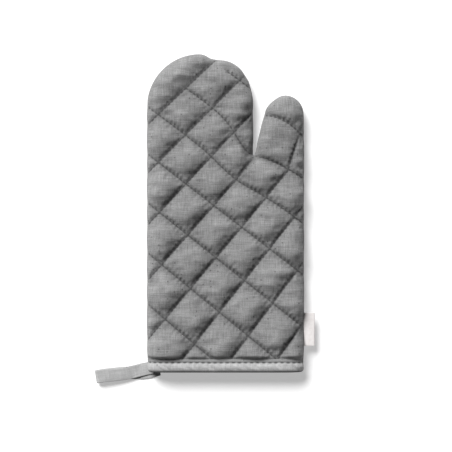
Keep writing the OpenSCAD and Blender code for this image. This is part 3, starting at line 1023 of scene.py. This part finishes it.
def binding():
    """A strip of linen folded over the cuff's raw edges, with a row of stitches near its upper fold."""
    ring, out = cuff_ring(400)
    run = np.arange(len(ring)) * np.linalg.norm(ring[1] - ring[0])
    girth = run[-1] + run[1]
    count = int(round(girth / SCALLOP))
    pitch = girth / count
    rows, painted_shades = zip(*[binding_row(p, n, s, pitch) for p, n, s in zip(ring, out, run)])
    v, f, uv = loft(rows, closed_ring=False, closed_path=True)
    v[:, 2] = np.maximum(v[:, 2], 0.4)
    # The strip carries its painted shade
    obj = make("cuff_tape", v, f, uv, BINDING, np.ravel(painted_shades))
    thicken(obj, BINDING_T, 0.0)
    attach(obj, "palm")
    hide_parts("cuff_binding")
    centres, directions = [], []
    for k in range(count):
        at = k * pitch / girth * len(ring)
        i, w = int(at) % len(ring), at - int(at)
        j = (i + 1) % len(ring)
        p = ring[i] * (1 - w) + ring[j] * w + CUFF_ROW_OUT * (out[i] * (1 - w) + out[j] * w)
        d = ring[j] - ring[i]
        centres.append((p[0], CUFF_Y + ROW_UP, p[1]))
        directions.append((d[0], 0.0, d[1]))
    stitches = sew("cuff_stitches", centres, directions, CUFF_ROW_L, CUFF_ROW_R, THREAD)
    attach(stitches, "palm")
    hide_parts("binding_stitching")


# ---- the hanging loop

LOOP_ROOT = np.array([-83.0, -157.0])  # the middle of the bend
LOOP_LEAN = math.radians(9)
LOOP_OUT = np.array([-math.cos(LOOP_LEAN), -math.sin(LOOP_LEAN)])
LOOP_ACROSS = np.array([-math.sin(LOOP_LEAN), math.cos(LOOP_LEAN)])
TAPE_W, TAPE_T, TAPE_SIDES = 13.0, 1.05, 28
LOOP_ROW_IN, LOOP_ROW_L, LOOP_ROW_R = 1.7, 2.7, 0.27  # the row of stitches: in from the edge, and sizes
BAR_IN, BAR_Z = 9.5, 2.75  # where the bar tack is, in from the bend and up from the floor
BAR_L, BAR_R = 2.4, 0.34
LOOP_PATH = np.array([
    # out from the bend at the cuff, up from the floor, across
    (-16.5, 0.65, -2.4), (-12, 0.65, -3.0), (-6, 0.65, -3.7), (2, 0.7, -3.4), (10, 0.7, -1.9),
    (20, 0.65, -0.8), (30, 0.65, -0.1), (38, 0.65, 0.3), (44.2, 1.0, 0.3), (46.8, 2.5, 0.3),
    (47.8, 4.4, 0.3), (47.0, 6.2, 0.3), (44.5, 7.3, 0.3), (38, 7.3, 0.0), (30, 6.4, -0.5),
    (20, 5.0, -1.0), (12, 3.7, -0.9), (5, 2.7, -0.4), (-1, 2.05, 0.1), (-6, 1.85, 0.2), (-11.5, 1.85, 0.2),
])


def smooth_line(points, step):
    """A smooth line through points."""
    points = np.asarray(points, float)
    fine = []
    ext = np.vstack([2 * points[0] - points[1], points, 2 * points[-1] - points[-2]])
    for k in range(1, len(ext) - 2):
        a, b, c, d = ext[k - 1 : k + 3]
        square, cube = 2 * a - 5 * b + 4 * c - d, 3 * b - a - 3 * c + d
        for t in np.linspace(0, 1, 12, endpoint=False):
            fine.append(0.5 * (2 * b + (c - a) * t + square * t**2 + cube * t**3))
    return resample(np.vstack([fine, points[-1]]), step)


def ribbon(path, across, width, thickness, edge=6):
    """Rings of a flat tape with rounded edges that follows path, with its width along across."""
    a = np.linspace(0, 2 * math.pi, TAPE_SIDES, endpoint=False)
    c, s = np.cos(a), np.sin(a)
    u = np.sign(c) * np.abs(c) ** (2 / edge) * width / 2
    v = np.sign(s) * np.abs(s) ** 0.6 * thickness / 2
    up = unit(np.cross(unit(np.gradient(path, axis=0)), across))
    return path[:, None] + u[None, :, None] * across + v[None, :, None] * up[:, None]


def swing(obj):
    """Bakes a loop piece's transform into its mesh; the piece is not bent."""
    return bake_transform(obj)


def loop():
    """A narrow linen tape, folded in half with both ends under the cuff, and stitched along one edge."""
    line = smooth_line(LOOP_PATH, 1.0)
    plan = LOOP_ROOT + line[:, :1] * LOOP_OUT + line[:, 2:] * LOOP_ACROSS
    path = np.column_stack([plan, line[:, 1]])
    across = np.array([*LOOP_ACROSS, 0.0])
    rings = ribbon(path, across, TAPE_W, TAPE_T)
    side = np.cos(np.linspace(0, 2 * math.pi, TAPE_SIDES, endpoint=False))
    k, w = np.arange(len(path))[:, None], side * TAPE_W / 2
    swell = noise(k / 9, w / 5, 13) * 0.2 + noise(k / 3.5, w / 4, 14) * 0.09
    upper_ply = np.where(line[:, 1] > 1.0, np.minimum(1.0, np.abs(line[:, 0] + 12) / 8), 0.0)
    rings[:, :, 2] += swell * upper_ply[:, None]
    v, f, uv = loft(rings)
    v[:, 2] = np.maximum(v[:, 2], 0.02)
    # Painted shade along the tape's lower edge
    edge = np.tile(0.7 * smoothstep((-side - 0.78) / 0.2), len(rings))
    obj = make("loop_tape", v, f, uv, BINDING, edge)
    swing(obj)
    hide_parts("hanging_loop", "loop_tails")
    loop_row(line, path, across)
    loop_bar()


def loop_row(line, path, across):
    """Stitches along the upper ply's edge."""
    d = np.gradient(path, axis=0)
    up = unit(np.cross(d, across))
    up *= np.sign(up[:, 2:])
    chosen = [k for k in range(0, len(path), 4) if line[k, 1] > 2.4 and line[k, 0] < 42]
    centres = path[chosen] + across * (TAPE_W / 2 - LOOP_ROW_IN) + up[chosen] * (TAPE_T / 2 + 0.05)
    stitches = sew("loop_stitches", centres, d[chosen], LOOP_ROW_L, LOOP_ROW_R, PALE_THREAD)
    swing(stitches)
    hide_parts("loop_stitching")


def loop_bar():
    """The bar tack that holds the tape's ends to the cuff."""
    rows = LOOP_ROOT - LOOP_OUT * BAR_IN + LOOP_ACROSS * np.arange(-4.4, 1.3, 0.62)[:, None]
    bar = [(*row, BAR_Z) for row in rows]
    bartack = sew("loop_bar_stitches", bar, [(*LOOP_OUT, 0.0)] * len(bar), BAR_L, BAR_R, PALE_THREAD)
    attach(bartack, "palm")
    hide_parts("loop_bartack")


# ---- the label

RIBBON_T = 0.34


def label():
    """A blank folded ribbon caught in the side seam."""
    middle = (label_low.y + label_high.y) / 2
    width = label_high.y - label_low.y
    reach = label_high.x
    path = smooth_line([(x, middle, SEAM_Z + up) for x, up in (
        (RIGHT - 1.5, 0.3), (RIGHT + 2, 0.32), (RIGHT + 7, 0.25), (reach - 0.5, 0.05), (reach - 0.05, -0.2),
        (reach - 0.5, -0.42), (RIGHT + 7, -0.36), (RIGHT + 2, -0.3), (RIGHT - 1.5, -0.28),
    )], 0.5)
    rings = ribbon(path, np.array([0.0, 1.0, 0.0]), width, RIBBON_T, edge=14)
    v, f, uv = loft(rings)
    curl = (v[:, 0] - RIGHT) / (reach - RIGHT)
    v[:, 2] += 0.3 * np.clip(curl, 0, 1) ** 2 * np.sin((v[:, 1] - middle) / width * 2.6)
    obj = make("blank_ribbon", v, f, uv[:, ::-1], SATIN)
    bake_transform(obj)
    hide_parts("side_label")


coarse_points, coarse_faces = clean(*triangulate())
fine_points, fine_triangles, between = subdivide(coarse_points, coarse_faces)
coarse_plan, whole_plan = Plan(coarse_points), Plan(fine_points)
for face_side in ("front", "back"):
    panel(face_side, coarse_plan, whole_plan, coarse_faces, fine_triangles, between)
seams()
binding()
loop()
label()
